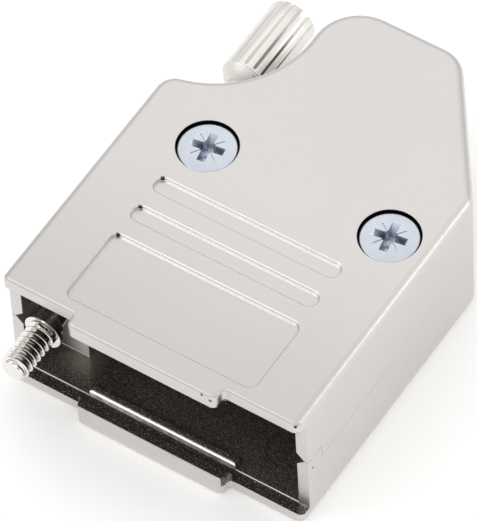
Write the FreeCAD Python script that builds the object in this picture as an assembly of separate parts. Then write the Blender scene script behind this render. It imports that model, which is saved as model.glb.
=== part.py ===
import FreeCAD
import Part
import math
import os

# Angled-exit hood for a nine-way D-sub connector, in millimetres.
# Two die-cast shells close round the cable. The connector's flange seats in the open
# front, a captive thumbscrew runs along one side, and the cable leaves through the
# slanted wall. The origin is the centre of the mouth, on the plane of its front lips.
# +Y runs from the mouth towards the rear, +X to the slanted wall and +Z up.

# Thumbscrew axes, at the connector's standard pitch
jack_pitch = 24.99
jack_to_flank = 3.205
jack_hole_radius = 1.65
jack_countersink = 0.25

# Body
body_height = 15.3
body_depth = 42.4
side_wall = 1.2
plate_thickness = 1.55
edge_radius = 0.8
lip_edge_radius = 0.35

# Plan of the body
scoop_radius = 9.9
scoop_centre_from_rear = 5.58
neck_from_thumbscrew = 5.925
slant_angle = 35.1
slant_start_from_rear = 13.46
slant_wall = 3.5
shoulder_corner = 2.0
neck_corner = 4.6
rear_corner = 3.3
flank_corner = 2.0
least_corner = 0.5

# Parting of the two shells
parting_z = -0.78
mouth_parting_z = 0.65
mouth_parting_depth = 3.4
lap_thickness = 0.6
lap_height = 0.78
lap_clearance = 0.08
lap_root = 1.5

# Mouth, where the connector's flange seats
flange_depth = 1.15
flange_height = 12.6
tongue_width = 15.7
tongue_reach_top = 1.33
tongue_reach_bottom = 1.15
tongue_thickness_top = 1.7
tongue_thickness_bottom = 2.5
tongue_corner = 0.65
tongue_root_radius = 0.45
tongue_inner_radius = 0.15
rib_width = 15.6
rib_height = 0.7
rib_depth = 0.9
rib_edge_radius = 0.3
notch_half_height = 1.05
notch_tip_wall = 0.35
notch_overrun = 0.2

# Cross wall that carries the thumbscrew behind the mouth
cross_wall_y = 4.55
cross_wall_thickness = 1.6
cross_wall_reach = 2.44

# Round marks of the ejector pins in the floor: place along X and Y, and radius
pin_marks = (
    (-6.35, 4.98, 1.5),
    (10.69, 5.42, 2.04),
)
pin_mark_depth = 0.1

# Thumbscrew, one turned piece
thread_radius = 1.42
thread_tip_y = -3.75
thread_tip_chamfer = 0.4
ring_groove_y = 1.15
ring_groove_width = 0.5
ring_groove_radius = 1.1
ring_land_length = 0.8
shank_radius = 1.1
head_overhang = 0.6
head_length = 9.6
head_radius = 2.4
head_nose_radius = 1.3
head_nose_length = 1.1
head_nose_curve = 2.5
head_band_length = 0.7
head_end_chamfer = 0.25
flute_count = 18
flute_depth = 0.3
flute_share = 0.5
slot_angle = 57.0
slot_width = 0.8
slot_depth = 0.75

# Bore that guides the thumbscrew's shank through the shoulder
guide_clearance = 0.1
guide_boss_radius = 2.9
guide_post_gap = 0.25

# Retaining ring, snapped into the thumbscrew's groove
ring_radius = 1.9
ring_thickness = 0.4
ring_bore_clearance = 0.05
ring_mouth_width = 1.7

# Shell screws and their posts
screw_left_inset = 7.85
screw_right_inset = 4.25
screw_from_rear = 20.7
screw_radius = 1.45
screw_tip_gap = 1.9
screw_head_radius = 2.72
screw_head_height = 1.65
screw_head_sink = 0.2
screw_dome = 0.35
screw_bore_clearance = 0.05
screw_pass_clearance = 0.2
counterbore_clearance = 0.21
counterbore_wall = 0.9
counterbore_seat = 1.3
post_wall = 1.3
post_web_width = 3.0

# Shallow recesses in the broad faces. They share out the length in front of the shell screws
recess_front_y = 1.3
recess_screw_gap = 2.05
recess_depth = 0.35
recess_corner = 0.9
recess_rim_radius = 0.15
panel_left_inset = 5.95
panel_right_inset = 5.6
panel_share = 0.5253
grip_left_inset = 6.05
grip_right_inset = 5.85
grip_share = 0.107
grip_pitch_share = 0.238
grip_count = 2
grip_end_flat = 0.02

# Cable exit and clamp
exit_radius = 4.0
clamp_setback = 9.0
clamp_post_wall = 0.85
clamp_post_top_z = -0.9
clamp_screw_radius = 1.0
clamp_bore_clearance = 0.05
clamp_pass_clearance = 0.2
clamp_screw_tip_gap = 1.0
clamp_head_radius = 1.75
clamp_head_height = 1.2
clamp_head_clearance = 0.15
clamp_head_dome = 0.3
clamp_width = 3.6
clamp_thickness = 0.8
clamp_arch_radius = 3.4
clamp_ear_corner = 0.9

# Modelling allowances: how deep a piece is rooted in its carrier, and how far a cut
# runs past the face that it leaves
root = 0.6
overrun = 1.0
same = 1e-6
far = 60.0

# Values worked out from the dimensions above
jack_x = jack_pitch / 2
half_width = jack_x + jack_to_flank
half_height = body_height / 2
cavity_half_height = half_height - plate_thickness
scoop_centre_y = body_depth - scoop_centre_from_rear
slant_start_y = body_depth - slant_start_from_rear
screw_y = body_depth - screw_from_rear
head_end_y = body_depth + head_overhang
head_start_y = head_end_y - head_length
flange_half_height = flange_height / 2
top_tab_z = half_height - tongue_thickness_top
bottom_tab_z = tongue_thickness_bottom - half_height
neck_left_x = neck_from_thumbscrew - jack_x
scoop_centre_x = neck_left_x - scoop_radius
slant = math.radians(slant_angle)
slant_normal = FreeCAD.Vector(math.cos(slant), math.sin(slant), 0)
slant_along = FreeCAD.Vector(-math.sin(slant), math.cos(slant), 0)
cross_wall_rear = cross_wall_y + cross_wall_thickness
lap_front_y = cross_wall_rear + lap_clearance
screw_places = {
    "shell_screw_left": screw_left_inset - half_width,
    "shell_screw_right": half_width - screw_right_inset,
}
screw_seat_z = half_height - screw_head_sink - screw_head_height
screw_length = screw_seat_z + cavity_half_height - screw_tip_gap
clamp_seat_z = clamp_post_top_z + clamp_thickness
clamp_screw_length = clamp_seat_z + cavity_half_height - clamp_screw_tip_gap
screw_bore_radius = screw_radius + screw_bore_clearance
screw_pass_radius = screw_radius + screw_pass_clearance
counterbore_radius = screw_head_radius + counterbore_clearance
post_radius = screw_bore_radius + post_wall
guide_start_y = screw_y + post_radius + guide_post_gap
recess_rear_y = screw_y - counterbore_radius - recess_screw_gap
recess_length = recess_rear_y - recess_front_y
panel_rear_y = recess_front_y + panel_share * recess_length
grip_width = grip_share * recess_length
grip_pitch = grip_pitch_share * recess_length
grip_front_y = recess_rear_y - grip_width - (grip_count - 1) * grip_pitch
clamp_bore_radius = clamp_screw_radius + clamp_bore_clearance
clamp_post_radius = clamp_bore_radius + clamp_post_wall
clamp_reach = clamp_arch_radius + clamp_thickness + clamp_head_clearance + clamp_head_radius

up = FreeCAD.Vector(0, 0, 1)
rearward = FreeCAD.Vector(0, 1, 0)


def vec(x, y, z=0.0):
    return FreeCAD.Vector(x, y, z)


def block(x0, x1, y0, y1, z0, z1):
    return Part.makeBox(x1 - x0, y1 - y0, z1 - z0, vec(x0, y0, z0))


def rod(radius, start, end):
    return Part.makeCylinder(radius, (end - start).Length, start, end - start)


def post(radius, place, low_z, high_z):
    """An upright round bar at a place in the plan."""
    return rod(radius, vec(place.x, place.y, low_z), vec(place.x, place.y, high_z))


def joined(shapes):
    return shapes[0].multiFuse(shapes[1:])


def edges_where(shape, test):
    """Edges whose middle point passes the test, which gets the edge and that point."""
    chosen = []
    for edge in shape.Edges:
        middle = edge.valueAt((edge.FirstParameter + edge.LastParameter) / 2)
        if test(edge, middle):
            chosen.append(edge)
    return chosen


def is_upright(edge):
    first, last = edge.Vertexes[0].Point, edge.Vertexes[-1].Point
    return abs(first.x - last.x) < same and abs(first.y - last.y) < same


def slant_midpoint(inset=0.0):
    """Middle of the slanted wall, between its crossings with the flank and the rear."""
    low = slant_crossing_x(half_width, 0.0)
    high = slant_crossing_y(body_depth, 0.0)
    return (low + high) * 0.5 - slant_normal * inset


def slant_level(inset):
    return slant_normal.dot(vec(half_width, slant_start_y)) - inset


def slant_crossing_x(x, inset):
    return vec(x, (slant_level(inset) - slant_normal.x * x) / slant_normal.y)


def slant_crossing_y(y, inset):
    return vec((slant_level(inset) - slant_normal.y * y) / slant_normal.x, y)


def plan_prism(inset, slant_inset, front_y, low_z, high_z):
    """The body's plan, moved inwards by inset, between two heights."""
    left = -half_width + inset
    right = half_width - inset
    rear = body_depth - inset
    scoop = scoop_radius + inset
    scoop_rise = math.sqrt(scoop ** 2 - (left - scoop_centre_x) ** 2)
    shoulder = vec(left, scoop_centre_y - scoop_rise)
    scoop_end = vec(scoop_centre_x + scoop, scoop_centre_y)
    neck_top = vec(scoop_centre_x + scoop, rear)
    rear_right = slant_crossing_y(rear, slant_inset)
    flank = slant_crossing_x(right, slant_inset)
    turn = (math.atan2(shoulder.y - scoop_centre_y, shoulder.x - scoop_centre_x)) / 2
    scoop_middle = vec(scoop_centre_x, scoop_centre_y) + vec(math.cos(turn), math.sin(turn)) * scoop
    front_left = vec(left, front_y)
    front_right = vec(right, front_y)
    edges = [
        Part.LineSegment(front_left, shoulder).toShape(),
        Part.Arc(shoulder, scoop_middle, scoop_end).toShape(),
        Part.LineSegment(scoop_end, neck_top).toShape(),
        Part.LineSegment(neck_top, rear_right).toShape(),
        Part.LineSegment(rear_right, flank).toShape(),
        Part.LineSegment(flank, front_right).toShape(),
        Part.LineSegment(front_right, front_left).toShape(),
    ]
    prism = Part.Face(Part.Wire(edges)).extrude(up * (high_z - low_z))
    prism.translate(up * low_z)
    corners = [
        (shoulder, shoulder_corner),
        (neck_top, neck_corner),
        (rear_right, rear_corner),
        (flank, flank_corner),
    ]
    for corner, radius in corners:

        def at_corner(edge, p):
            return is_upright(edge) and (vec(p.x, p.y) - corner).Length < same

        prism = prism.makeFillet(max(radius - inset, least_corner), edges_where(prism, at_corner))
    return prism


def tongue(reach, outer_z, inner_z):
    """A tab in front of the lips, with hollow corners at its root and rounded ones at its tip."""
    half = tongue_width / 2
    hollow = tongue_root_radius
    tip = min(tongue_corner, reach - hollow)
    quarter = math.sin(math.radians(45))
    edges = []
    for side in (-1, 1):
        outer = vec(side * (half + hollow), 0)
        root_middle = vec(side * (half + hollow - hollow * quarter), -hollow + hollow * quarter)
        root_end = vec(side * half, -hollow)
        tip_start = vec(side * half, -reach + tip)
        tip_middle = vec(side * (half - tip + tip * quarter), -reach + tip - tip * quarter)
        tip_end = vec(side * (half - tip), -reach)
        edges.append(Part.Arc(outer, root_middle, root_end).toShape())
        if (tip_start - root_end).Length > same:
            edges.append(Part.LineSegment(root_end, tip_start).toShape())
        edges.append(Part.Arc(tip_start, tip_middle, tip_end).toShape())
    edges.append(Part.LineSegment(vec(-half + tip, -reach), vec(half - tip, -reach)).toShape())
    back = flange_depth / 2
    outer_left = vec(-half - hollow, 0)
    outer_right = vec(half + hollow, 0)
    edges.append(Part.LineSegment(outer_left, vec(outer_left.x, back)).toShape())
    edges.append(Part.LineSegment(vec(outer_left.x, back), vec(outer_right.x, back)).toShape())
    edges.append(Part.LineSegment(vec(outer_right.x, back), outer_right).toShape())
    wire = Part.Wire(Part.__sortEdges__(edges))
    tab = Part.Face(wire).extrude(up * abs(inner_z - outer_z))
    tab.translate(up * min(inner_z, outer_z))
    inner_rim = edges_where(tab, lambda edge, p: abs(p.z - inner_z) < same and p.y < -same)
    return tab.makeFillet(tongue_inner_radius, inner_rim)


def outer_form():
    """The closed outside of both shells with its tongues and rounded edges."""
    body = plan_prism(0.0, 0.0, 0.0, -half_height, half_height)
    top_tab = tongue(tongue_reach_top, half_height, top_tab_z)
    bottom_tab = tongue(tongue_reach_bottom, -half_height, bottom_tab_z)
    body = joined([body, top_tab, bottom_tab]).removeSplitter()
    lips = edges_where(body, lambda edge, p: on_broad_face(p) and p.y < same)
    body = body.makeFillet(lip_edge_radius, lips)
    rims = edges_where(body, lambda edge, p: on_broad_face(p) and p.y > flange_depth)
    return body.makeFillet(edge_radius, rims)


def on_broad_face(point):
    return abs(abs(point.z) - half_height) < same


def cross_wall():
    """The wall behind the mouth, from the flank to just past the thumbscrew."""
    outer = side_wall / 2 - half_width
    inner = cross_wall_reach - jack_x
    high = cavity_half_height + root
    return block(outer, inner, cross_wall_y, cross_wall_rear, -high, high)


def flange_ribs():
    """The low bars behind the flange's seat, on the floor and under the roof."""
    ribs = []
    half = rib_width / 2
    rear = flange_depth + rib_depth
    for side in (-1, 1):
        crest_z = side * (cavity_half_height - rib_height)
        root_z = side * (cavity_half_height + root)
        bar = block(-half, half, flange_depth, rear, min(crest_z, root_z), max(crest_z, root_z))
        crest = edges_where(bar, lambda edge, p: abs(p.z - crest_z) < same)
        ribs.append(bar.makeFillet(rib_edge_radius, crest))
    return ribs


def hood_blank():
    """Both shells as one hollow body, before they are parted and drilled."""
    cavity_front = flange_depth / 2
    cavity = plan_prism(side_wall, slant_wall, cavity_front, -cavity_half_height, cavity_half_height)
    pocket = block(-far, far, 0.0, flange_depth, -flange_half_height, flange_half_height)
    front_gap = block(-far, far, -far, 0.0, bottom_tab_z, top_tab_z)
    body = outer_form().cut(cavity).cut(pocket).cut(front_gap)
    guide = rod(guide_boss_radius, vec(-jack_x, guide_start_y), vec(-jack_x, shoulder_y()))
    guide = guide.common(plan_prism(side_wall / 2, side_wall, 0, -far, far))
    return joined([body, guide, cross_wall()] + flange_ribs())


def shoulder_y():
    """Where the thumbscrew's axis leaves the body through the scoop's wall."""
    return scoop_centre_y - math.sqrt(scoop_radius ** 2 - (jack_x + scoop_centre_x) ** 2)


def lower_space():
    """Everything below the parting, which steps up beside the mouth."""
    below = block(-far, far, -far, far, -far, parting_z)
    step = block(-far, far, -far, mouth_parting_depth, -far, mouth_parting_z)
    return below.fuse(step)


def lap(outer_inset, inner_inset, front_y, high_z):
    """A low wall along the parting, on the inner part of the side walls."""
    low = parting_z - lap_root
    band = plan_prism(outer_inset, outer_inset, front_y, low, high_z)
    return band.cut(plan_prism(inner_inset, inner_inset, front_y - far, low - overrun, high_z + overrun))


def mouth_notches():
    """V grooves along the parting beside the mouth, inside the two side walls."""
    notches = []
    inner = half_width - side_wall - notch_overrun
    tip = half_width - notch_tip_wall
    for side in (-1, 1):
        corners = [
            vec(side * inner, 0, mouth_parting_z + notch_half_height),
            vec(side * tip, 0, mouth_parting_z),
            vec(side * inner, 0, mouth_parting_z - notch_half_height),
        ]
        wedge = Part.Face(Part.makePolygon(corners + corners[:1]))
        notches.append(wedge.extrude(rearward * mouth_parting_depth))
    return notches


def drillings():
    """Holes that run through both shells: the thumbscrew's two and the cable's."""
    middle = slant_midpoint()
    rim = jack_hole_radius + jack_countersink
    wall_front = vec(-jack_x, cross_wall_y)
    wall_rear = vec(-jack_x, cross_wall_rear + overrun)
    guide_start = vec(-jack_x, guide_start_y - overrun)
    guide_end = vec(-jack_x, head_start_y)
    return [
        rod(exit_radius, middle - slant_normal * (2 * slant_wall), middle + slant_normal * slant_wall),
        rod(jack_hole_radius, wall_front - rearward * overrun, wall_rear),
        Part.makeCone(rim, jack_hole_radius, jack_countersink, wall_front, rearward),
        rod(thread_radius + guide_clearance, guide_start, guide_end),
    ]


def rounded_recess(x0, x1, y0, y1, corner, face_z):
    """A shallow rounded pocket in the broad face at height face_z."""
    floor_z = face_z - math.copysign(recess_depth, face_z)
    pocket = block(x0, x1, y0, y1, min(face_z, floor_z), max(face_z, floor_z))
    uprights = edges_where(pocket, lambda edge, p: is_upright(edge))
    return pocket.makeFillet(corner, uprights)


def surface_recesses(face_z):
    """The wide panel behind the mouth and the grip recesses behind it."""
    left = panel_left_inset - half_width
    right = half_width - panel_right_inset
    tools = [rounded_recess(left, right, recess_front_y, panel_rear_y, recess_corner, face_z)]
    left = grip_left_inset - half_width
    right = half_width - grip_right_inset
    corner = grip_width / 2 - grip_end_flat
    for number in range(grip_count):
        front = grip_front_y + number * grip_pitch
        tools.append(rounded_recess(left, right, front, front + grip_width, corner, face_z))
    return tools


def with_recesses(shell, face_z):
    """Cuts the recesses and rounds their rims."""
    for tool in surface_recesses(face_z):
        shell = shell.cut(tool)
        box = tool.BoundBox

        def on_rim(edge, p):
            return abs(p.z - face_z) < same and box.XMin - same < p.x < box.XMax + same and (
                box.YMin - same < p.y < box.YMax + same
            )

        shell = shell.makeFillet(recess_rim_radius, edges_where(shell, on_rim))
    return shell


def post_webs(low_z, high_z):
    """Webs that join each screw post to the flank beside it, where it stands close."""
    webs = []
    half = post_web_width / 2
    for x in screw_places.values():
        if half_width - abs(x) - side_wall < post_radius + post_wall:
            edge = math.copysign(half_width - side_wall / 2, x)
            webs.append(block(min(x, edge), max(x, edge), screw_y - half, screw_y + half, low_z, high_z))
    return webs


def lower_shell(blank):
    """The lower casting, with its lap, screw posts and the posts of the cable clamp."""
    shell = blank.common(lower_space())
    floor_z = -cavity_half_height - root
    adds = [lap(side_wall - lap_thickness, side_wall, lap_front_y, parting_z + lap_height)]
    adds += post_webs(floor_z, parting_z)
    for x in screw_places.values():
        adds.append(post(post_radius, vec(x, screw_y), floor_z, parting_z))
    for place in clamp_post_places():
        adds.append(post(clamp_post_radius, place, floor_z, clamp_post_top_z))
    shell = joined([shell] + adds)
    tools = drillings() + mouth_notches()
    for x in screw_places.values():
        tools.append(post(screw_bore_radius, vec(x, screw_y), -cavity_half_height, half_height))
    for place in clamp_post_places():
        tools.append(post(clamp_bore_radius, place, -cavity_half_height, half_height))
    for x, y, radius in pin_marks:
        tools.append(post(radius, vec(x, y), -cavity_half_height - pin_mark_depth, parting_z))
    for tool in tools:
        shell = shell.cut(tool)
    return with_recesses(shell, -half_height)


def upper_shell(blank):
    """The upper casting, with the counterbored posts of the shell screws."""
    shell = blank.cut(lower_space())
    roof_z = cavity_half_height + root
    boss_radius = counterbore_radius + counterbore_wall
    adds = post_webs(parting_z, roof_z)
    for x in screw_places.values():
        adds.append(post(post_radius, vec(x, screw_y), parting_z, roof_z))
        adds.append(post(boss_radius, vec(x, screw_y), screw_seat_z - counterbore_seat, roof_z))
    inside = plan_prism(side_wall / 2, side_wall, 0, -far, far)
    shell = joined([shell] + [add.common(inside) for add in adds])
    lap_space = lap(
        side_wall - lap_thickness - lap_clearance,
        side_wall + lap_clearance,
        lap_front_y - lap_clearance,
        parting_z + lap_height + lap_clearance,
    )
    tools = [lap_space] + drillings() + mouth_notches()
    for x in screw_places.values():
        tools.append(post(screw_pass_radius, vec(x, screw_y), parting_z - overrun, half_height))
        tools.append(post(counterbore_radius, vec(x, screw_y), screw_seat_z, half_height + overrun))
    for tool in tools:
        shell = shell.cut(tool)
    return with_recesses(shell, half_height)


def pan_screw(place, seat_z, shank_radius, length, head_radius, head_height, dome):
    """An upright screw with a domed round head and a bevelled tip."""
    shank = post(shank_radius, place, seat_z - length, seat_z)
    head = post(head_radius, place, seat_z, seat_z + head_height)
    rim = edges_where(head, lambda edge, p: p.z > seat_z + head_height - same)
    tip = edges_where(shank, lambda edge, p: p.z < seat_z - length + same)
    return joined([head.makeFillet(dome, rim), shank.makeChamfer(dome, tip)])


def shell_screw(x):
    """A screw that holds the shells together, on the floor of its counterbore."""
    return pan_screw(
        vec(x, screw_y), screw_seat_z, screw_radius, screw_length,
        screw_head_radius, screw_head_height, screw_dome,
    )


def clamp_post_places():
    """The two posts of the cable clamp, one each side of the cable's line."""
    centre = slant_midpoint(clamp_setback)
    return [centre - slant_along * clamp_reach, centre + slant_along * clamp_reach]


def turned_onto_slant(shape):
    """Turns a shape drawn along X to lie along the slanted wall, over the clamp's centre."""
    shape.rotate(vec(0, 0), up, 90 + slant_angle)
    shape.translate(slant_midpoint(clamp_setback))
    return shape


def cable_clamp():
    """A bent strap over the cable: two flat ears and an arch between them."""
    ear = clamp_reach + clamp_post_radius
    low = clamp_post_top_z
    outer = clamp_arch_radius + clamp_thickness
    half = clamp_width / 2
    plate = block(-ear, ear, -half, half, low, low + clamp_thickness)
    arch = rod(outer, vec(0, -half, low), vec(0, half, low))
    arch = arch.common(block(-outer, outer, -half, half, low, low + outer))
    hollow = rod(clamp_arch_radius, vec(0, -half - overrun, low), vec(0, half + overrun, low))
    strap = joined([plate, arch]).cut(hollow)
    hole_radius = clamp_screw_radius + clamp_pass_clearance
    for side in (-1, 1):
        strap = strap.cut(post(hole_radius, vec(side * clamp_reach, 0), low - overrun, low + overrun))
    corners = edges_where(strap, lambda edge, p: is_upright(edge) and abs(abs(p.x) - ear) < same)
    return turned_onto_slant(strap.makeFillet(clamp_ear_corner, corners))


def clamp_screw(place):
    return pan_screw(
        place, clamp_seat_z, clamp_screw_radius, clamp_screw_length,
        clamp_head_radius, clamp_head_height, clamp_head_dome,
    )


def turned(edges):
    """Turns a half profile, drawn with X as the radius, about the thumbscrew's axis."""
    solid = Part.Face(Part.Wire(edges)).revolve(vec(0, 0), rearward, 360)
    solid.translate(vec(-jack_x, 0))
    return solid


def lines(points):
    """Straight edges through (y, radius) points."""
    corners = [vec(radius, y) for y, radius in points]
    return [Part.LineSegment(a, b).toShape() for a, b in zip(corners, corners[1:])]


def fluted_bar(start_y, end_y):
    """The head's grip: a bar with V flutes along it, one land of it at the slot's angle."""
    points = []
    step = 2 * math.pi / flute_count
    land = (1 - flute_share) / 2
    for number in range(flute_count):
        middle = math.radians(slot_angle) + number * step
        for share, radius in ((-land, head_radius), (land, head_radius), (0.5, head_radius - flute_depth)):
            angle = middle + share * step
            points.append(vec(radius * math.cos(angle), start_y, radius * math.sin(angle)))
    bar = Part.Face(Part.makePolygon(points + points[:1])).extrude(rearward * (end_y - start_y))
    bar.translate(vec(-jack_x, 0))
    return bar


def thumbscrew():
    """The long captive screw: threaded end, plain shank, rounded nose and slotted, fluted head."""
    groove_end = ring_groove_y + ring_groove_width
    nose_end = head_start_y + head_nose_length
    band_end = nose_end + head_band_length
    land_end = groove_end + ring_land_length
    nose_front = vec(head_nose_radius, head_start_y)
    nose_rear = vec(head_radius, nose_end)
    half_chord = (nose_rear - nose_front).Length / 2
    bulge = head_nose_curve - math.sqrt(head_nose_curve ** 2 - half_chord ** 2)
    outward = vec(head_nose_length, head_nose_radius - head_radius).normalize()
    nose_middle = (nose_front + nose_rear) * 0.5 + outward * bulge
    stem = turned(
        lines([
            (band_end, 0.0),
            (thread_tip_y, 0.0),
            (thread_tip_y, thread_radius - thread_tip_chamfer),
            (thread_tip_y + thread_tip_chamfer, thread_radius),
            (ring_groove_y, thread_radius),
            (ring_groove_y, ring_groove_radius),
            (groove_end, ring_groove_radius),
            (groove_end, thread_radius),
            (land_end, thread_radius),
            (land_end, shank_radius),
            (head_start_y, shank_radius),
            (head_start_y, head_nose_radius),
        ])
        + [Part.Arc(nose_front, nose_middle, nose_rear).toShape()]
        + lines([(nose_end, head_radius), (band_end, head_radius), (band_end, 0.0)])
    )
    grip_start = band_end - head_band_length / 2
    envelope = turned(lines([
        (grip_start, 0.0),
        (grip_start, head_radius),
        (head_end_y - head_end_chamfer, head_radius),
        (head_end_y, head_radius - head_end_chamfer),
        (head_end_y, 0.0),
        (grip_start, 0.0),
    ]))
    screw = joined([stem, fluted_bar(grip_start, head_end_y).common(envelope)])
    slot = block(-far, far, head_end_y - slot_depth, head_end_y + overrun, -slot_width / 2, slot_width / 2)
    slot.rotate(vec(0, 0), rearward, -slot_angle)
    slot.translate(vec(-jack_x, 0))
    return screw.cut(slot)


def retaining_ring():
    """A thin snap ring in the thumbscrew's groove, open at its underside."""
    start = ring_groove_y + (ring_groove_width - ring_thickness) / 2
    end = start + ring_thickness
    half = ring_mouth_width / 2
    disc = rod(ring_radius, vec(-jack_x, start), vec(-jack_x, end))
    bore_radius = ring_groove_radius + ring_bore_clearance
    hole = rod(bore_radius, vec(-jack_x, start - overrun), vec(-jack_x, end + overrun))
    mouth = block(-jack_x - half, -jack_x + half, start - overrun, end + overrun, -far, 0)
    return disc.cut(hole).cut(mouth)


def build():
    blank = hood_blank()
    nodes = {
        "upper_shell": upper_shell(blank),
        "lower_shell": lower_shell(blank),
        "thumbscrew": thumbscrew(),
        "retaining_ring": retaining_ring(),
        "cable_clamp": cable_clamp(),
    }
    for name, x in screw_places.items():
        nodes[name] = shell_screw(x)
    for name, place in zip(("clamp_screw_front", "clamp_screw_rear"), clamp_post_places()):
        nodes[name] = clamp_screw(place)
    return nodes


os.makedirs("parts", exist_ok=True)
for name, shape in build().items():
    box = shape.BoundBox
    print(name, len(shape.Solids), "solid", round(shape.Volume, 2), "mm3", shape.isValid(),
          [round(v, 2) for v in (box.XMin, box.YMin, box.ZMin, box.XMax, box.YMax, box.ZMax)])
    shape.exportStep(os.path.join("parts", name + ".step"))
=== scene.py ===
import math

import bmesh
import bpy
from mathutils import Matrix, Vector


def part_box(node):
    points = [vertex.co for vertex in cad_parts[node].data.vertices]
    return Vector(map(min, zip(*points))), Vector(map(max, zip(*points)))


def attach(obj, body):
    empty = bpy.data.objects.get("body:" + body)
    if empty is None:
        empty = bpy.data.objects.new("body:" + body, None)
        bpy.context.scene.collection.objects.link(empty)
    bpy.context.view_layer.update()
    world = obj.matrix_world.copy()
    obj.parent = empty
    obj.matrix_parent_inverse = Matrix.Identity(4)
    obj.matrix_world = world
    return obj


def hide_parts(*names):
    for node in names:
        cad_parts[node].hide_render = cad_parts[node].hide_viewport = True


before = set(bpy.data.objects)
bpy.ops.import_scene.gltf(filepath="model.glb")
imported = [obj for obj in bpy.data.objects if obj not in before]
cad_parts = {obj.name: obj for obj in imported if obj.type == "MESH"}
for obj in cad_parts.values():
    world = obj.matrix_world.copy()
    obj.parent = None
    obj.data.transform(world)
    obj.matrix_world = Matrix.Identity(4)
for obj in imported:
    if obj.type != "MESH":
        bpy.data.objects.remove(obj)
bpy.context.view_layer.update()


MM = 0.001

# The camera's place and axes in the row frame, fitted to the photo's straight edges
CAMERA_PLACE = (209.595, -277.392, 491.965)
CAMERA_RIGHT = (0.8397, 0.5417, -0.0367)
CAMERA_DOWN = (0.4185, -0.6888, -0.5920)
CAMERA_FORWARD = (-0.3460, 0.4818, -0.8051)
FOCAL_PIXELS = 6790.0
LONG_SIDE_PIXELS = 521
SENSOR = 36.0
CLIP_START = 0.05
CLIP_END = 20.0

# The floor under the part, in millimetres
FLOOR_Z = -7.65
FLOOR_GAP = 0.02
FLOOR_HALF_WIDTH = 900.0
FLOOR_GLOW = 0.13

# Forms of the thumbscrew, in millimetres
JACK_X = -12.495
THREAD_TIP_Y = -3.75
THREAD_END_Y = 1.15
GROOVE_END_Y = 1.65
LAND_END_Y = 2.45
LAND_CHAMFER = 0.06
GROOVE_RADIUS = 1.1
SHANK_RADIUS = 1.1
SHANK_STEPS = 8
THREAD_RADIUS = 1.42
THREAD_PITCH = 0.635
THREAD_TIP_CHAMFER = 0.4
HEAD_START_Y = 33.4
HEAD_END_Y = 43.0
HEAD_RADIUS = 2.4
NOSE_RADIUS = 1.3
NOSE_LENGTH = 1.1
NOSE_CURVE = 2.5
NOSE_STEP = 0.09
NOSE_STEPS = 12
BAND_LENGTH = 0.18
HEAD_CHAMFER = 0.25
FLUTES = 16
FLUTE_COLUMNS = 24
FLUTE_DEPTH = 0.24
FLUTE_RUN_IN = 0.35
FLUTE_LAND = 0.62
FLUTE_ANGLE = 53.75
SLOT_ANGLE = 51.0
SLOT_WIDTH = 0.78
SLOT_DEPTH = 0.8
SLOT_CUTTER_LENGTH = 12.0
SLOT_CUTTER_OVERRUN = 2.0

# One turn of a thread: share of the pitch, and how far the flank has fallen to the root
THREAD_STATIONS = (
    (0.0, 0.0), (0.06, 0.0), (0.12, 0.05), (0.22, 0.35), (0.34, 0.75),
    (0.44, 0.97), (0.56, 1.0), (0.68, 0.97), (0.78, 0.75), (0.90, 0.35), (0.97, 0.05),
)
THREAD_DEPTH_OF_PITCH = 0.54

# Forms of the pan-head screws, in millimetres
SHELL_SCREWS = {"shell_screw_left": (-7.85, 21.7), "shell_screw_right": (11.45, 21.7)}
CLAMP_SCREWS = ("clamp_screw_front", "clamp_screw_rear")
SHELL_SCREW_SIZES = {
    "seat_z": 5.8, "shank": 1.45, "length": 10.0, "head": 2.84, "height": 1.70,
    "pitch": 0.6, "arm": 1.62,
}
CLAMP_SCREW_SIZES = {
    "seat_z": -0.1, "shank": 1.0, "length": 5.0, "head": 1.75, "height": 1.2,
    "pitch": 0.45, "arm": 0.95,
}
SCREW_TURN = 9.5
SCREW_COLUMNS = 96
SCREW_TIP_CHAMFER = 0.35
SCREW_THREAD_END = -0.9
SCREW_NECK_START = -0.7
SCREW_CORE_SHARE = 0.8
SCREW_NECK_SHARE = 0.86
PAN_HEIGHT = 1.65
PAN_EDGE = 0.26
PAN_DOME = 0.12
PAN_FOOT_WIDTH = 0.12
PAN_FOOT_HEIGHT = 0.1
CUTTER_TOP = 0.4
ARM_HALF_WIDTH = 0.23
CORE_COLUMNS = 32
MARK_WIDTH = 0.11
MARK_DEPTH = 0.14

SMOOTH_ANGLE = 32

# The hollow that takes the painted shade inside, in millimetres
HOLLOW_HALF_WIDTH = 14.53
SEAT_DEPTH = 1.12
SEAT_WIDER = 1.09
TONGUE_DEPTH = 0.02
TONGUE_NARROWER = -7.27
HOLLOW_HALF_HEIGHT = 6.37
HOLLOW_BEFORE_LIPS = 1.0
HOLLOW_REAR_Y = 40.8
SCOOP_CENTRE_X = -16.47
SCOOP_CENTRE_Y = 36.82
SCOOP_REACH = 11.0
SLANT_REACH = 28.5
SLANT_NORMAL = (math.cos(math.radians(35.1)), math.sin(math.radians(35.1)))

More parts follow.
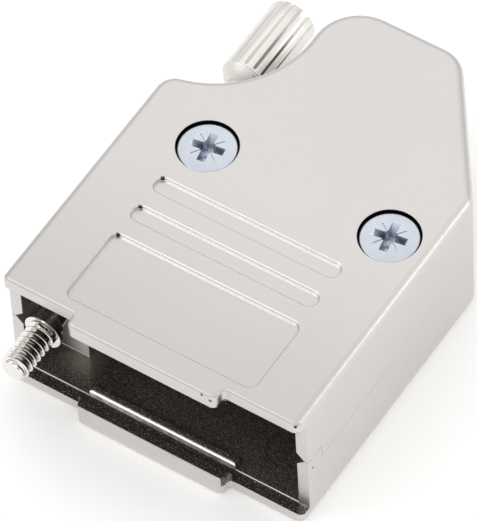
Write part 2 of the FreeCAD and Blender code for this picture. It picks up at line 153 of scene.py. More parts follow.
# Other places of the cast finish, in millimetres
RECESS_REARS = (9.39, 13.035, 16.70)
RECESS_WALL_SHIFT = 0.02
RECESS_MIDDLE_X = 0.15
RECESS_FACE_Z = 7.2
COUNTERBORE_RADIUS = 2.97
COUNTERBORE_BOTTOM_Z = 5.0
COUNTERBORE_TOP_Z = 7.6
SEAM_Z = -0.78
SEAM_RISE = 1.43
SEAM_STEP_Y = 3.4
SEAM_STEP_MIDDLE_Z = -0.065
SEAM_STEP_HALF = 0.715
FRONTS_START_Y = 0.5
FRONTS_END_Y = 5.0
CROSS_WALL_FROM_Y = 3.0
# Centre of a painted reflection of the lit cross wall on the floor
GLOW_REFLECTION_CENTRE = (-10.6, 4.4)
RIB_FOOT_Z = -6.02
RIB_TILT_Z = -5.4
RIB_TILT = 0.8
TONGUE_HALF_WIDTH = 7.85

# Small dark spots: centre and radius
DARK_SPOTS = (
    ((-9.33, 16.63, 7.5), 0.22), ((-9.29, 12.97, 7.5), 0.22), ((-9.29, 9.30, 7.5), 0.22),
    ((15.55, 0.02, 7.45), 0.26), ((15.35, 0.02, 7.25), 0.22), ((15.66, 0.1, -6.2), 0.24),
    ((15.7, 1.9, -0.84), 0.15), ((6.45, -1.25, 7.35), 0.16), ((7.35, -1.2, 7.1), 0.2),
    ((7.75, -1.12, -5.3), 0.16),
)
DARK_SPOT_RAGGEDNESS = 0.3

# Cast zinc: each pair is the darker and the lighter tone of its clouds. The front pair is painted
# shade and the rear pair painted light.
CAST_SHADED_FRONT_TONES = ((0.560, 0.541, 0.527), (0.594, 0.577, 0.565))
CAST_LIT_REAR_TONES = ((0.640, 0.618, 0.602), (0.678, 0.660, 0.646))
# Painted highlight on the recesses' rear walls
RECESS_WALL_HIGHLIGHT_COLOUR = (0.84, 0.825, 0.81)
SEAM_COLOUR = (0.45, 0.43, 0.415)
# The inside: painted shade, darkest on the seat, with its grain darker still
SEAT_SHADE_COLOUR = (0.024, 0.020, 0.016)
HOLLOW_SHADE_COLOUR = (0.140, 0.118, 0.098)
HOLLOW_SHADE_GRAIN_COLOUR = (0.015, 0.012, 0.010)
# Painted reflection of the lit cross wall on the floor
GLOW_REFLECTION_COLOUR = (0.42, 0.39, 0.35)
# Painted glints on the grain inside
SPARK_GLINT_COLOUR = (0.85, 0.82, 0.76)
# Forward faces in the mouth: painted shade, painted highlights and the painted light of the cross
# wall
SHADED_FRONT_COLOUR = (0.16, 0.14, 0.12)
FRONT_HIGHLIGHT_COLOUR = (1.0, 0.98, 0.95)
LIT_CROSS_WALL_COLOUR = (0.66, 0.64, 0.61)
# Painted shade on the counterbores' walls
COUNTERBORE_SHADE_COLOUR = (0.012, 0.011, 0.009)
# Colour of the small dark spots
DARK_SPOT_COLOUR = (0.05, 0.045, 0.04)

# The other finishes, with painted shade in the thumbscrew's flutes, thread roots and nose scores
# and in the screws' cross recesses
NICKEL_TONES = ((0.79, 0.765, 0.735), (0.85, 0.835, 0.81))
# Painted shade in the flutes, thread roots and nose scores
FLUTE_SHADE_COLOUR = (0.075, 0.07, 0.055)
THREAD_ROOT_SHADE_COLOUR = (0.07, 0.062, 0.05)
NOSE_SCORE_SHADE_COLOUR = (0.16, 0.15, 0.12)
ZINC_TONES = ((0.53, 0.575, 0.65), (0.63, 0.665, 0.72))
# Painted shade in the screws' cross recesses
ZINC_RECESS_SHADE_COLOUR = (0.25, 0.29, 0.37)
ZINC_RECESS_RADIUS = 2.1
STEEL_TONES = ((0.58, 0.58, 0.57), (0.68, 0.68, 0.66))
FLOOR_TONES = ((0.95, 0.95, 0.945), (0.97, 0.97, 0.965))

# The side of the thumbscrew that takes painted shade, as shares of X and Z
SHADED_SIDE_X = 0.94
SHADED_SIDE_Z = -0.34

# The sky: its colour, where its fade begins and ends, and its strength there
SKY_COLOUR = (1.0, 0.995, 0.985, 1.0)
SKY_FADE = (-0.05, 0.75, 0.50, 1.05)

# Lamps: place, target, width and height in metres, and power in watts
LAMPS = {
    "key": ((-0.34, -0.20, 0.46), (0, 0.02, 0), 0.30, 0.30, 0.40),
    "rear": ((-0.20, 0.34, 0.40), (0, 0.03, 0), 0.24, 0.24, 0.05),
    "side": ((0.42, 0.30, 0.16), (0, 0.03, 0), 0.22, 0.20, 0.28),
    "front": ((0.10, -0.40, 0.22), (0, 0.01, 0), 0.30, 0.14, 0.10),
}


def link(obj):
    bpy.context.scene.collection.objects.link(obj)
    return obj


def object_from(bm, name):
    """A new object from a bmesh drawn in millimetres."""
    bmesh.ops.scale(bm, vec=(MM, MM, MM), verts=bm.verts)
    bmesh.ops.recalc_face_normals(bm, faces=bm.faces)
    mesh = bpy.data.meshes.new(name)
    bm.to_mesh(mesh)
    bm.free()
    return link(bpy.data.objects.new(name, mesh))


def round_solid(rows, columns):
    """A closed solid about Z. Each row is a function of the column's share of a turn that
    gives (height, radius)."""
    bm = bmesh.new()
    grid = []
    for row in rows:
        line = []
        for column in range(columns + 1):
            share = column / columns
            height, radius = row(share)
            angle = 2 * math.pi * share
            line.append(bm.verts.new((radius * math.cos(angle), radius * math.sin(angle), height)))
        grid.append(line)
    for low, high in zip(grid, grid[1:]):
        for column in range(columns):
            bm.faces.new((low[column], low[column + 1], high[column + 1], high[column]))
    bm.faces.new(grid[0][:columns][::-1])
    bm.faces.new(grid[-1][:columns])
    bmesh.ops.remove_doubles(bm, verts=bm.verts, dist=1e-5)
    bmesh.ops.dissolve_degenerate(bm, dist=1e-5, edges=bm.edges)
    return bm


def fixed(height, radius):
    return lambda share: (height, radius)


def fixed_rows(*places):
    return [fixed(height, radius) for height, radius in places]


def thread_rows(start, end, radius, pitch, chamfer, core_end):
    """Rows of a sixty-degree thread that winds from start to end, bevelled at start."""
    depth = THREAD_DEPTH_OF_PITCH * pitch
    rows = []
    turns = int((end - start) / pitch) + 3
    for turn in range(-1, turns):
        for offset, fall in THREAD_STATIONS:

            def row(share, turn=turn, offset=offset, fall=fall):
                height = start + (turn + offset + share) * pitch
                if height <= start:
                    return start, radius - chamfer
                if height >= end + pitch / 2:
                    return end, core_end
                if height >= end:
                    height = end
                reach = min(radius - depth * fall, radius - chamfer + (height - start))
                return height, reach

            rows.append(row)
    return rows


def cut_away(obj, cutter):
    """Cuts one closed mesh from another and removes the cutter."""
    boolean = obj.modifiers.new("cut", "BOOLEAN")
    boolean.operation = "DIFFERENCE"
    boolean.solver = "EXACT"
    boolean.object = cutter
    bpy.context.view_layer.update()
    done = bpy.data.meshes.new_from_object(obj.evaluated_get(bpy.context.evaluated_depsgraph_get()))
    obj.modifiers.clear()
    obj.data = done
    bpy.data.objects.remove(cutter)
    return obj


def finished_piece(obj, material, body, node):
    """Shades a new piece, gives it its finish and puts it in a CAD node's place."""
    obj.data.shade_smooth()
    obj.data.set_sharp_from_angle(angle=math.radians(SMOOTH_ANGLE))
    obj.data.materials.clear()
    obj.data.materials.append(material)
    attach(obj, body)
    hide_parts(node)
    return obj


def flute_row(height, depth, shrink=0.0):
    """A row of the fluted grip at one height, with a land at the flutes' angle."""

    def row(share):
        phase = (share + FLUTE_ANGLE / 360) * FLUTES
        off = abs(phase - round(phase)) * 2
        into = min(1.0, max(0.0, (off - FLUTE_LAND) / (1 - FLUTE_LAND)))
        return height, HEAD_RADIUS - shrink - depth * math.sin(math.pi / 2 * into) ** 1.2

    return row


def nose_rows(nose_end):
    """The rounded front of the thumbscrew's head, with a small step at its rim."""
    front = Vector((NOSE_RADIUS, HEAD_START_Y))
    rear = Vector((HEAD_RADIUS - NOSE_STEP, nose_end))
    half_chord = (rear - front).length / 2
    inward = Vector((front.y - rear.y, rear.x - front.x)).normalized()
    centre = (front + rear) / 2 + inward * math.sqrt(NOSE_CURVE ** 2 - half_chord ** 2)
    first = math.atan2(front.y - centre.y, front.x - centre.x)
    last = math.atan2(rear.y - centre.y, rear.x - centre.x)
    rows = []
    for step in range(NOSE_STEPS + 1):
        turn = first + (last - first) * step / NOSE_STEPS
        height = centre.y + NOSE_CURVE * math.sin(turn)
        rows.append(fixed(height, centre.x + NOSE_CURVE * math.cos(turn)))
    rows.append(fixed(nose_end + 0.02, HEAD_RADIUS))
    return rows


def grip_rows(band_end):
    """The fluted grip, which runs in from the plain band and is bevelled at its end."""
    rows = []
    for step in range(6):
        share = step / 5
        rows.append(flute_row(band_end + FLUTE_RUN_IN * share, FLUTE_DEPTH * share ** 0.7))
    start = band_end + FLUTE_RUN_IN
    for step in range(1, 5):
        rows.append(flute_row(start + (HEAD_END_Y - HEAD_CHAMFER - start) * step / 4, FLUTE_DEPTH))
    rows.append(flute_row(HEAD_END_Y - HEAD_CHAMFER * 0.4, FLUTE_DEPTH * 0.6, HEAD_CHAMFER * 0.35))
    rows.append(flute_row(HEAD_END_Y, FLUTE_DEPTH * 0.1, HEAD_CHAMFER))
    return rows


def thumbscrew_solid():
    nose_end = HEAD_START_Y + NOSE_LENGTH
    band_end = nose_end + BAND_LENGTH
    rows = thread_rows(
        THREAD_TIP_Y, THREAD_END_Y, THREAD_RADIUS, THREAD_PITCH, THREAD_TIP_CHAMFER, GROOVE_RADIUS
    )
    rows += fixed_rows(
        (GROOVE_END_Y, GROOVE_RADIUS),
        (GROOVE_END_Y, THREAD_RADIUS - LAND_CHAMFER),
        (GROOVE_END_Y + LAND_CHAMFER, THREAD_RADIUS),
        (LAND_END_Y - LAND_CHAMFER, THREAD_RADIUS),
        (LAND_END_Y, THREAD_RADIUS - LAND_CHAMFER),
    )
    for step in range(SHANK_STEPS + 1):
        height = LAND_END_Y + (HEAD_START_Y - LAND_END_Y) * step / SHANK_STEPS
        rows.append(fixed(height, SHANK_RADIUS))
    rows += nose_rows(nose_end)
    rows.append(fixed(band_end - 0.04, HEAD_RADIUS))
    rows += grip_rows(band_end)
    bm = round_solid(rows, FLUTES * FLUTE_COLUMNS)
    bm.transform(
        Matrix.Translation(Vector((JACK_X, 0, 0))) @ Matrix.Rotation(math.radians(-90), 4, "X")
    )
    return object_from(bm, "thumbscrew_detail")


def slot_cutter():
    length = SLOT_DEPTH + SLOT_CUTTER_OVERRUN
    middle = HEAD_END_Y - SLOT_DEPTH + length / 2
    bm = bmesh.new()
    bmesh.ops.create_cube(bm, size=1.0)
    bmesh.ops.scale(bm, vec=(SLOT_CUTTER_LENGTH, length, SLOT_WIDTH), verts=bm.verts)
    bm.transform(
        Matrix.Translation(Vector((JACK_X, middle, 0)))
        @ Matrix.Rotation(math.radians(-SLOT_ANGLE), 4, "Y")
    )
    return object_from(bm, "slot_cutter")


def cross_section(arm, half, height):
    """The corners of a cross at one height."""
    corners = []
    for quarter in range(4):
        turn = math.pi / 2 * quarter
        for x, y in ((arm, -half), (arm, half), (half, half)):
            corners.append((
                x * math.cos(turn) - y * math.sin(turn),
                x * math.sin(turn) + y * math.cos(turn),
                height,
            ))
    return corners


def lofted(sections):
    """A closed solid through sections that have the same number of corners."""
    bm = bmesh.new()
    rings = [[bm.verts.new(corner) for corner in section] for section in sections]
    count = len(rings[0])
    for low, high in zip(rings, rings[1:]):
        for index in range(count):
            after = (index + 1) % count
            bm.faces.new((low[index], low[after], high[after], high[index]))
    bm.faces.new(rings[0][::-1])
    bm.faces.new(rings[-1])
    return bm


def pan_screw_rows(shank, length, head, height, pitch):
    """A threaded shank and a pan head with a rounded edge and a low dome."""
    edge = PAN_EDGE * height / PAN_HEIGHT
    rise = PAN_DOME * height / PAN_HEIGHT
    side_top = height - rise - edge
    flat = head - edge
    core = shank * SCREW_CORE_SHARE
    neck = shank * SCREW_NECK_SHARE
    rows = thread_rows(-length, SCREW_THREAD_END, shank, pitch, SCREW_TIP_CHAMFER, core)
    rows += fixed_rows(
        (SCREW_NECK_START, neck), (0, neck), (0, head - PAN_FOOT_WIDTH), (PAN_FOOT_HEIGHT, head),
        (side_top, head),
    )
    for step in range(1, 9):
        turn = math.pi / 2 * step / 8
        rows.append(fixed(side_top + edge * math.sin(turn), flat + edge * math.cos(turn)))
    for step in range(1, 10):
        radius = flat * (1 - step / 10)
        rows.append(fixed(height - rise * (radius / flat) ** 2, radius))
    return rows


def recess_cutters(arm, top):
    """The cross, its round core and the four short marks between its arms."""
    half = arm * ARM_HALF_WIDTH
    cross = lofted([
        cross_section(arm * 0.55, half * 0.75, -arm * 0.85),
        cross_section(arm * 0.96, half * 0.98, -0.12),
        cross_section(arm * 1.06, half * 1.12, 0.02),
        cross_section(arm * 1.06, half * 1.12, CUTTER_TOP),
    ])
    cross.transform(top)
    core = round_solid(fixed_rows(
        (-arm * 1.0, 0.04), (-arm * 0.8, arm * 0.34), (-0.05, arm * 0.44), (CUTTER_TOP, arm * 0.47)
    ), CORE_COLUMNS)
    core.transform(top)
    cutters = [cross, core]
    for number in range(4):
        mark = bmesh.new()
        bmesh.ops.create_cube(mark, size=1.0)
        bmesh.ops.scale(mark, vec=(arm * 0.62, MARK_WIDTH, CUTTER_TOP), verts=mark.verts)
        shift = (arm * 0.72, 0, CUTTER_TOP / 2 - MARK_DEPTH)
        bmesh.ops.translate(mark, vec=shift, verts=mark.verts)
        mark.transform(top @ Matrix.Rotation(math.radians(45 + 90 * number), 4, "Z"))
        cutters.append(mark)
    return cutters


def screw_solid(name, place, seat_z, shank, length, head, height, pitch, arm):
    """A pan-head screw with a cross recess and its four short marks."""
    bm = round_solid(pan_screw_rows(shank, length, head, height, pitch), SCREW_COLUMNS)
    bm.transform(Matrix.Translation(Vector((place[0], place[1], seat_z))))
    screw = object_from(bm, name)
    top = Matrix.Translation(Vector((place[0], place[1], seat_z + height))) @ Matrix.Rotation(
        math.radians(SCREW_TURN), 4, "Z"
    )
    for cutter in recess_cutters(arm, top):
        cut_away(screw, object_from(cutter, "recess_cutter"))
    return screw


class Shader:
    """A material's node tree, with short calls for its sums. Places in the tree are in metres,
    and past, short_of, off, is_below, is_above, distance, fade and bevel take millimetres."""

    def __init__(self, name):
        self.material = bpy.data.materials.new(name)
        self.material.use_nodes = True
        self.nodes = self.material.node_tree.nodes
        self.links = self.material.node_tree.links
        self.bsdf = self.nodes["Principled BSDF"]
        self.place = self.nodes.new("ShaderNodeTexCoord").outputs["Object"]
        self.x, self.y, self.z = self.split(self.place)

    def feed(self, socket, value):
        if isinstance(value, bpy.types.NodeSocket):
            self.links.new(value, socket)
        else:
            socket.default_value = value

    def math(self, operation, a, b=0.0, c=0.0):
        node = self.nodes.new("ShaderNodeMath")
        node.operation = operation
        for socket, value in zip(node.inputs, (a, b, c)):
            self.feed(socket, value)
        return node.outputs[0]

    def split(self, vector):
        node = self.nodes.new("ShaderNodeSeparateXYZ")
        self.feed(node.inputs[0], vector)
        return node.outputs[0], node.outputs[1], node.outputs[2]

    def joined_axes(self, x, y, z):
        node = self.nodes.new("ShaderNodeCombineXYZ")
        for socket, value in zip(node.inputs, (x, y, z)):
            self.feed(socket, value)
        return node.outputs[0]

    def chain(self, operation, values):
        """One operation on the first two values, then on that result and the next."""
        result = values[0]
        for value in values[1:]:
            result = self.math(operation, result, value)
        return result

    def product(self, *values):
        return self.chain("MULTIPLY", values)

    def least(self, *values):
        return self.chain("MINIMUM", values)

    def greatest(self, *values):
        return self.chain("MAXIMUM", values)

    def without(self, share):
        return self.math("SUBTRACT", 1.0, share)

    def past(self, value, limit):
        return self.math("SUBTRACT", value, limit * MM)

    def short_of(self, value, limit):
        return self.math("SUBTRACT", limit * MM, value)

    def off(self, value, centre):
        return self.math("ABSOLUTE", self.past(value, centre))

    def is_below(self, value, limit):
        return self.math("LESS_THAN", value, limit * MM)

    def is_above(self, value, limit):
        return self.math("GREATER_THAN", value, limit * MM)

    def length(self, across, along):
        squares = self.math("ADD", self.product(across, across), self.product(along, along))
        return self.math("SQRT", squares)

    def distance(self, centre):
        """The distance in plan from a point."""
        return self.length(self.past(self.x, centre[0]), self.past(self.y, centre[1]))

    def noise(self, per_metre, detail=3.0, roughness=0.5, place=None):
        node = self.nodes.new("ShaderNodeTexNoise")
        self.feed(node.inputs["Vector"], place or self.place)
        node.inputs["Scale"].default_value = per_metre
        node.inputs["Detail"].default_value = detail
        node.inputs["Roughness"].default_value = roughness
        return node.outputs["Fac"]

    def spread(self, value, low, high, to_low, to_high):
        """A smooth change from one value to another between two limits."""
        node = self.nodes.new("ShaderNodeMapRange")
        node.interpolation_type = "SMOOTHSTEP"
        for socket, number in zip(node.inputs, (value, low, high, to_low, to_high)):
            self.feed(socket, number)
        return node.outputs[0]

    def fade(self, value, low, high, to_low, to_high):
        return self.spread(value, low * MM, high * MM, to_low, to_high)

    def mix(self, share, a, b):
        node = self.nodes.new("ShaderNodeMix")
        node.data_type = "RGBA"
        self.feed(node.inputs["Factor"], share)
        for name, value in (("A", a), ("B", b)):
            socket = [s for s in node.inputs if s.name == name and s.type == "RGBA"][0]
            self.feed(socket, value if isinstance(value, bpy.types.NodeSocket) else (*value, 1.0))
        return [s for s in node.outputs if s.type == "RGBA"][0]

    def bump(self, height, distance, strength, normal=None):
        node = self.nodes.new("ShaderNodeBump")
        node.inputs["Strength"].default_value = strength
        node.inputs["Distance"].default_value = distance
        self.feed(node.inputs["Height"], height)
        if normal is not None:
            self.feed(node.inputs["Normal"], normal)
        return node.outputs[0]

    def bevel(self, radius):
        node = self.nodes.new("ShaderNodeBevel")
        node.samples = 6
        node.inputs["Radius"].default_value = radius * MM
        return node.outputs[0]

    def finish(self, colour, roughness, normal, metallic=1.0):
        self.feed(self.bsdf.inputs["Base Color"], colour)
        self.feed(self.bsdf.inputs["Roughness"], roughness)
        self.feed(self.bsdf.inputs["Metallic"], metallic)
        self.feed(self.bsdf.inputs["Normal"], normal)
        return self.material


def inside_share(shader):
    """One inside the shells' hollow and nought outside, by place."""
    x, y, z = shader.x, shader.y, shader.z
    seat = shader.product(shader.is_below(y, SEAT_DEPTH), SEAT_WIDER * MM)
    tongue = shader.product(shader.is_below(y, TONGUE_DEPTH), TONGUE_NARROWER * MM)
    width = shader.math("ADD", shader.math("ADD", seat, tongue), HOLLOW_HALF_WIDTH * MM)
    side = shader.math("SUBTRACT", width, shader.math("ABSOLUTE", x))
    level = shader.short_of(shader.math("ABSOLUTE", z), HOLLOW_HALF_HEIGHT)
    front = shader.math("ADD", y, HOLLOW_BEFORE_LIPS * MM)
    rear = shader.short_of(y, HOLLOW_REAR_Y)
    along = shader.math("MINIMUM", shader.past(y, SCOOP_CENTRE_Y), 0.0)
    scoop = shader.past(shader.length(shader.past(x, SCOOP_CENTRE_X), along), SCOOP_REACH)
    sloped = shader.math("MULTIPLY_ADD", y, -SLANT_NORMAL[1], SLANT_REACH * MM)
    slant = shader.math("MULTIPLY_ADD", x, -SLANT_NORMAL[0], sloped)
    return shader.fade(shader.least(side, level, front, rear, scoop, slant), -0.02, 0.05, 0.0, 1.0)


def counterbore_shade_share(shader):
    """One on the walls of the two counterbores round the shell screws, where painted shade goes."""
    wells = []
    for centre in SHELL_SCREWS.values():
        wells.append(shader.short_of(shader.distance(centre), COUNTERBORE_RADIUS))
    depth = shader.least(
        shader.greatest(*wells),
        shader.past(shader.z, COUNTERBORE_BOTTOM_Z),
        shader.short_of(shader.z, COUNTERBORE_TOP_Z),
    )
    return shader.fade(depth, 0.0, 0.03, 0.0, 1.0)


def recess_wall_highlight_share(shader):
    """Near one along the rear walls of the three recesses in each broad face, where a painted
    highlight goes.
    """
    off = shader.least(*[shader.off(shader.y, rear - RECESS_WALL_SHIFT) for rear in RECESS_REARS])
    return shader.product(
        shader.fade(off, 0.14, 0.24, 0.9, 0.0),
        shader.fade(shader.off(shader.x, RECESS_MIDDLE_X), 9.0, 9.6, 1.0, 0.0),
        shader.is_above(shader.math("ABSOLUTE", shader.z), RECESS_FACE_Z),
    )


def seam_share(shader):
    """One on the line where the two shells meet, which steps up beside the mouth."""
    y, z = shader.y, shader.z
    beside = shader.is_below(y, SEAM_STEP_Y)
    height = shader.math("ADD", shader.product(beside, SEAM_RISE * MM), SEAM_Z * MM)
    line = shader.math("ABSOLUTE", shader.math("SUBTRACT", z, height))
    past_step = shader.past(shader.off(z, SEAM_STEP_MIDDLE_Z), SEAM_STEP_HALF)
    step = shader.greatest(shader.off(y, SEAM_STEP_Y), shader.greatest(past_step, 0.0))
    share = shader.fade(shader.least(line, step), 0.02, 0.07, 1.0, 0.0)
    return shader.product(share, shader.fade(y, 12, 17, 1.0, 0.35))


def dark_spot_share(shader):
    """One in small dark spots near the mouth's corners and beside the recesses."""
    depths = []
    for centre, radius in DARK_SPOTS:
        node = shader.nodes.new("ShaderNodeVectorMath")
        node.operation = "DISTANCE"
        shader.feed(node.inputs[0], shader.place)
        shader.feed(node.inputs[1], tuple(value * MM for value in centre))
        depths.append(shader.short_of(node.outputs["Value"], radius))
    ragged = shader.math("SUBTRACT", shader.noise(5000, 2.0), 0.5)
    ragged = shader.product(ragged, DARK_SPOT_RAGGEDNESS * MM)
    depth = shader.math("ADD", shader.greatest(*depths), ragged)
    return shader.fade(depth, -0.02, 0.05, 0.0, 1.0)


def cast_faces(shader):
    """Two shares: faces in the mouth that look forward, and faces anywhere that look up less
    than the broad top does."""
    normal = shader.nodes.new("ShaderNodeNewGeometry").outputs["True Normal"]
    _, rearward, upward = shader.split(normal)
    fronts = shader.product(
        shader.spread(shader.product(rearward, -1.0), 0.5, 0.8, 0.0, 1.0),
        shader.is_above(shader.y, FRONTS_START_Y),
        shader.is_below(shader.y, FRONTS_END_Y),
        shader.fade(shader.z, -3.5, 0.5, 1.0, 0.0),
    )
    # The second share keeps the sides in the lighter tone of the painted light
    return fronts, shader.spread(upward, 0.4, 0.8, 1.0, 0.0)


def outer_colour(shader, lit_side_share, wall, seam):
    """The outer faces in painted light and shade, lighter towards the rear and darker towards the
    front, with a painted highlight on the recess walls and the seam.
    """
    cloud = shader.noise(70, 2.0)
    # Painted light and shade: lighter towards the rear and on the sides, darker towards the front
    rear = shader.greatest(shader.fade(shader.y, -4.0, 22.0, 0.0, 1.0), lit_side_share)
    shaded_front_tone = shader.mix(cloud, *CAST_SHADED_FRONT_TONES)
    colour = shader.mix(rear, shaded_front_tone, shader.mix(cloud, *CAST_LIT_REAR_TONES))
    # Painted highlight on the recesses' rear walls
    colour = shader.mix(wall, colour, RECESS_WALL_HIGHLIGHT_COLOUR)
    return shader.mix(seam, colour, SEAM_COLOUR)


def painted_hollow_colour(shader, grain, speck):
    """The inside in painted shade, grainy and darkest on the seat, with painted glints and a
    painted reflection before the cross wall.
    """
    # Painted shade, darkest on the seat
    seat = shader.fade(shader.y, 1.10, 1.14, 0.45, 1.0)
    colour = shader.mix(seat, SEAT_SHADE_COLOUR, HOLLOW_SHADE_COLOUR)
    colour = shader.mix(shader.spread(grain, 0.42, 0.60, 0.0, 0.55), colour, HOLLOW_SHADE_GRAIN_COLOUR)
    # Painted reflection of the lit cross wall on the floor before it
    glow = shader.product(shader.fade(shader.distance(GLOW_REFLECTION_CENTRE), 0.3, 2.9, 0.6, 0.0), seat)
    colour = shader.mix(glow, colour, GLOW_REFLECTION_COLOUR)
    # Painted glints on the brightest specks
    return shader.mix(shader.spread(speck, 0.60, 0.70, 0.0, 1.0), colour, SPARK_GLINT_COLOUR)


def lit_and_shaded_fronts_colour(shader, crest, on_cross_wall):
    """The faces in the mouth that look forward, the seat's ribs and the cross wall, in painted
    light and shade, with painted highlights and a painted shadow.
    """
    # Painted highlight streaks on the ribs, lighter towards the left
    highlight_streak = shader.spread(shader.noise(900, 3.0, 0.6), 0.35, 0.60, 0.35, 1.0)
    lit = shader.product(shader.fade(shader.x, -7.0, 5.0, 1.0, 0.35), highlight_streak)
    rib = shader.mix(lit, SHADED_FRONT_COLOUR, FRONT_HIGHLIGHT_COLOUR)
    # Painted highlight lines along the ribs' crests and feet
    beside = shader.is_above(shader.math("ABSOLUTE", shader.x), TONGUE_HALF_WIDTH)
    foot = shader.product(shader.is_below(shader.z, RIB_FOOT_Z), beside)
    rib = shader.mix(shader.greatest(crest, foot), rib, FRONT_HIGHLIGHT_COLOUR)
    # Painted shadow on the cross wall's outer end
    shade = shader.fade(shader.x, -13.0, -10.2, 0.0, 1.0)
    plate = shader.mix(shade, SHADED_FRONT_COLOUR, LIT_CROSS_WALL_COLOUR)
    # Painted highlight line along the cross wall's foot
    plate_foot = shader.fade(shader.z, RIB_FOOT_Z, -5.94, 1.0, 0.0)
    plate = shader.mix(plate_foot, plate, FRONT_HIGHLIGHT_COLOUR)
    return shader.mix(on_cross_wall, rib, plate)


def cast_relief(shader, grain, speck, inside, seam, rib_face):
    """Rounded edges, the skin's grain and waves, rubble inside, the seam and the ribs' tilt."""
    normal = shader.bump(grain, 0.004 * MM, 0.5, shader.bevel(0.10))
    normal = shader.bump(shader.noise(380, 2.0), 0.03 * MM, 0.35, normal)
    normal = shader.bump(shader.product(speck, inside), 0.012 * MM, 0.8, normal)
    normal = shader.bump(seam, -0.03 * MM, 1.0, normal)
    slope = shader.product(shader.short_of(shader.z, RIB_TILT_Z), rib_face)
    return shader.bump(slope, RIB_TILT, 1.0, normal)


def cast_shell():
    """Satin die-cast zinc. In the mouth its colours stand in for light that the photo shows."""
    shader = Shader("cast_shell")
    fronts, lit_side_share = cast_faces(shader)
    mouth = inside_share(shader)
    inside = shader.product(mouth, shader.without(fronts))
    lit = shader.product(mouth, fronts)
    seam = seam_share(shader)
    # Where the painted highlight on the recesses' rear walls goes
    wall = recess_wall_highlight_share(shader)
    grain = shader.noise(5200, 4.0, 0.62)
    speck = shader.noise(9500, 2.0, 0.6)
    # The ribs' crests, where a painted highlight line runs
    crest = shader.fade(shader.z, -5.80, -5.62, 0.0, 1.0)
    on_cross_wall = shader.is_above(shader.y, CROSS_WALL_FROM_Y)
    rib_face = shader.product(lit, shader.without(on_cross_wall))

    outer = outer_colour(shader, lit_side_share, wall, seam)
    # Painted shade inside the hollow
    colour = shader.mix(inside, outer, painted_hollow_colour(shader, grain, speck))
    # Forward faces in the mouth take painted light and shade
    colour = shader.mix(lit, colour, lit_and_shaded_fronts_colour(shader, crest, on_cross_wall))
    # Painted shade on the counterbores' walls
    colour = shader.mix(counterbore_shade_share(shader), colour, COUNTERBORE_SHADE_COLOUR)
    # Small dark spots
    colour = shader.mix(dark_spot_share(shader), colour, DARK_SPOT_COLOUR)

    rough = shader.spread(grain, 0.3, 0.7, 0.34, 0.46)
    rough = shader.math("SUBTRACT", rough, shader.product(mouth, 0.24))
    rough = shader.math("SUBTRACT", rough, shader.product(wall, 0.10))
    metal = shader.product(shader.without(shader.product(inside, 0.55)), shader.without(lit))
    metal = shader.greatest(metal, shader.product(rib_face, crest))
    normal = cast_relief(shader, grain, speck, inside, seam, rib_face)
    return shader.finish(colour, rough, normal, metal)


def turned_nickel():
    """Bright nickel on turned steel, with painted shade in the flutes, the nose's turned scores and
    the thread roots on one side.
    """
    shader = Shader("turned_nickel")
    x, y, z = shader.x, shader.y, shader.z
    across = shader.past(x, JACK_X)
    reach = shader.length(across, z)
    # How far a point lies towards the side in painted shade
    shaded_side = shader.math("MULTIPLY_ADD", z, SHADED_SIDE_Z, shader.product(across, SHADED_SIDE_X))
    head = shader.fade(y, 30, 31, 0.0, 1.0)
    nose = shader.product(head, shader.fade(y, 34.40, 34.52, 1.0, 0.0))
    drawn = shader.joined_axes(shader.product(x, 0.08), y, shader.product(z, 0.08))
    marks = shader.noise(16000, 3.0, 0.6, drawn)
    turned = shader.noise(5200, 1.0, 0.5, shader.joined_axes(reach, 0.0, 0.0))

    # Painted shade in the flutes, mostly on the shaded side
    flutes = shader.product(
        shader.fade(reach, HEAD_RADIUS - 0.20, HEAD_RADIUS - 0.03, 1.0, 0.0),
        shader.fade(y, 34.75, 34.95, 0.0, 0.92),
        shader.fade(y, 37.5, 41.0, 1.0, 0.12),
        shader.fade(shaded_side, -0.9, 1.3, 0.04, 1.0),
    )
    # Painted shade in the thread roots on the shaded side
    roots = shader.product(
        shader.fade(reach, 1.10, 1.34, 0.75, 0.0),
        shader.fade(shaded_side, -0.7, 0.9, 0.12, 1.0),
        shader.is_below(y, 1.1),
        shader.is_above(y, -3.3),
    )
    # The nose's turned scores, darkened by painted shade on the shaded side
    shaded_scores = shader.product(
        nose,
        shader.spread(turned, 0.55, 0.62, 0.0, 0.75),
        shader.fade(shaded_side, 0.2, 0.9, 0.05, 1.0),
    )
    colour = shader.mix(shader.noise(240, 2.0), *NICKEL_TONES)
    colour = shader.mix(flutes, colour, FLUTE_SHADE_COLOUR)
    colour = shader.mix(roots, colour, THREAD_ROOT_SHADE_COLOUR)
    colour = shader.mix(shaded_scores, colour, NOSE_SCORE_SHADE_COLOUR)

    rough = shader.spread(marks, 0.3, 0.7, 0.10, 0.16)
    rough = shader.math("ADD", rough, shader.product(head, 0.24))
    rough = shader.math("ADD", rough, shader.product(nose, 0.22))
    normal = shader.bump(shader.product(marks, head), 0.004 * MM, 0.5)
    return shader.finish(colour, rough, normal)


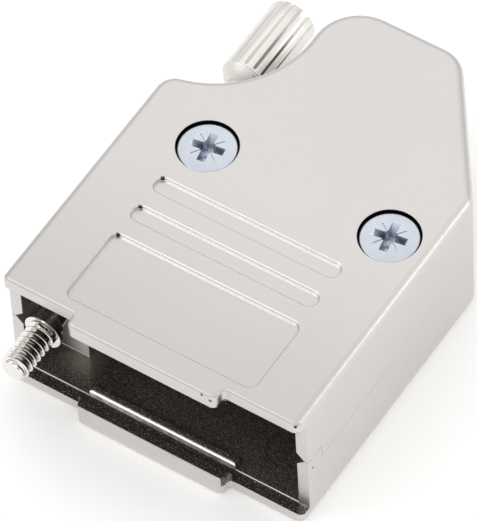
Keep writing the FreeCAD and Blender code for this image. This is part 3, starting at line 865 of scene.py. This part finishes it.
def zinc_screw(centres):
    """Blue-white plating with turning marks about each screw's own axis, and painted shade in the
    cross recesses.
    """
    shader = Shader("zinc_screw")
    x, y, z = shader.x, shader.y, shader.z
    reach = shader.least(*[shader.distance(centre) for centre in centres])
    rings = shader.noise(15000, 2.0, 0.5, shader.joined_axes(reach, 0.0, 0.0))
    grain = shader.noise(6000, 3.0, 0.6)
    streaks = shader.noise(2600, 2.0, 0.6, shader.joined_axes(x, y, shader.product(z, 0.12)))
    # Painted shade in the cross recesses, deepest at the bottom and broken by streaks
    recess = shader.product(
        shader.fade(z, 6.0, 7.3, 0.62, 0.0),
        shader.is_below(reach, ZINC_RECESS_RADIUS),
        shader.spread(streaks, 0.36, 0.56, 1.0, 0.30),
    )
    colour = shader.mix(shader.noise(700, 3.0), *ZINC_TONES)
    colour = shader.mix(recess, colour, ZINC_RECESS_SHADE_COLOUR)
    rough = shader.spread(grain, 0.3, 0.7, 0.26, 0.38)
    height = shader.math("ADD", shader.product(rings, 0.5), grain)
    normal = shader.bump(height, 0.005 * MM, 0.5, shader.bevel(0.05))
    return shader.finish(colour, rough, normal)


def clamp_steel():
    """Nickel-plated strip with rolling marks."""
    shader = Shader("clamp_steel")
    rolled = shader.joined_axes(
        shader.product(shader.x, 0.2), shader.y, shader.product(shader.z, 0.2)
    )
    marks = shader.noise(5000, 3.0, 0.6, rolled)
    colour = shader.mix(shader.noise(300, 2.0), *STEEL_TONES)
    rough = shader.spread(marks, 0.3, 0.7, 0.25, 0.4)
    normal = shader.bump(marks, 0.004 * MM, 0.5, shader.bevel(0.08))
    return shader.finish(colour, rough, normal)


def pale_floor():
    """A near-white floor with a little light of its own, as the photo's ground is white."""
    shader = Shader("pale_floor")
    colour = shader.mix(shader.noise(9, 3.0), *FLOOR_TONES)
    normal = shader.bump(shader.noise(900, 3.0), 0.02 * MM, 0.2)
    shader.feed(shader.bsdf.inputs["Emission Color"], colour)
    shader.feed(shader.bsdf.inputs["Emission Strength"], FLOOR_GLOW)
    return shader.finish(colour, 0.7, normal, 0.0)


def area_light(name, place, target, width, height, power):
    data = bpy.data.lights.new(name, "AREA")
    data.shape = "RECTANGLE"
    data.size = width
    data.size_y = height
    data.energy = power
    lamp = link(bpy.data.objects.new(name, data))
    lamp.location = place
    aim = Vector(target) - Vector(place)
    lamp.rotation_euler = aim.to_track_quat("-Z", "Y").to_euler()


def soft_world():
    """A sky that brightens from just below the horizon upwards."""
    world = bpy.data.worlds.new("studio")
    world.use_nodes = True
    nodes = world.node_tree.nodes
    links = world.node_tree.links
    place = nodes.new("ShaderNodeTexCoord")
    split = nodes.new("ShaderNodeSeparateXYZ")
    links.new(place.outputs["Generated"], split.inputs[0])
    spread = nodes.new("ShaderNodeMapRange")
    spread.interpolation_type = "SMOOTHSTEP"
    links.new(split.outputs[2], spread.inputs[0])
    for socket, value in zip(spread.inputs[1:5], SKY_FADE):
        socket.default_value = value
    background = nodes["Background"]
    background.inputs["Color"].default_value = SKY_COLOUR
    links.new(spread.outputs[0], background.inputs["Strength"])
    bpy.context.scene.world = world


def photo_camera():
    data = bpy.data.cameras.new("camera")
    data.sensor_width = SENSOR
    data.lens = FOCAL_PIXELS / LONG_SIDE_PIXELS * SENSOR
    data.clip_start = CLIP_START
    data.clip_end = CLIP_END
    camera = link(bpy.data.objects.new("camera", data))
    right = Vector(CAMERA_RIGHT)
    above = -Vector(CAMERA_DOWN)
    behind = -Vector(CAMERA_FORWARD)
    turn = Matrix((right, above, behind)).transposed().to_4x4()
    camera.matrix_world = Matrix.Translation(Vector(CAMERA_PLACE) * MM) @ turn
    bpy.context.scene.camera = camera


def floor_piece():
    bm = bmesh.new()
    half = FLOOR_HALF_WIDTH
    corners = [(-half, -half), (half, -half), (half, half), (-half, half)]
    bm.faces.new([bm.verts.new((x, y, FLOOR_Z - FLOOR_GAP)) for x, y in corners])
    floor = object_from(bm, "floor")
    floor.data.materials.append(pale_floor())


shell_material = cast_shell()
nickel_material = turned_nickel()
steel_material = clamp_steel()

clamp_screws = {}
for node in CLAMP_SCREWS:
    low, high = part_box(node)
    middle = (low + high) / 2 / MM
    clamp_screws[node] = (middle.x, middle.y)
zinc_material = zinc_screw(list(SHELL_SCREWS.values()) + list(clamp_screws.values()))

plain_nodes = {
    "upper_shell": shell_material,
    "lower_shell": shell_material,
    "retaining_ring": nickel_material,
    "cable_clamp": steel_material,
}
for node, material in plain_nodes.items():
    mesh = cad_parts[node].data
    mesh.materials.clear()
    mesh.materials.append(material)

thumbscrew = cut_away(thumbscrew_solid(), slot_cutter())
finished_piece(thumbscrew, nickel_material, "screw", "thumbscrew")

for places, sizes in ((SHELL_SCREWS, SHELL_SCREW_SIZES), (clamp_screws, CLAMP_SCREW_SIZES)):
    for node, place in places.items():
        screw = screw_solid(node + "_detail", place, **sizes)
        finished_piece(screw, zinc_material, "hood", node)

floor_piece()
soft_world()
for name, settings in LAMPS.items():
    area_light(name, *settings)
photo_camera()
bpy.context.scene.view_settings.view_transform = "Standard"
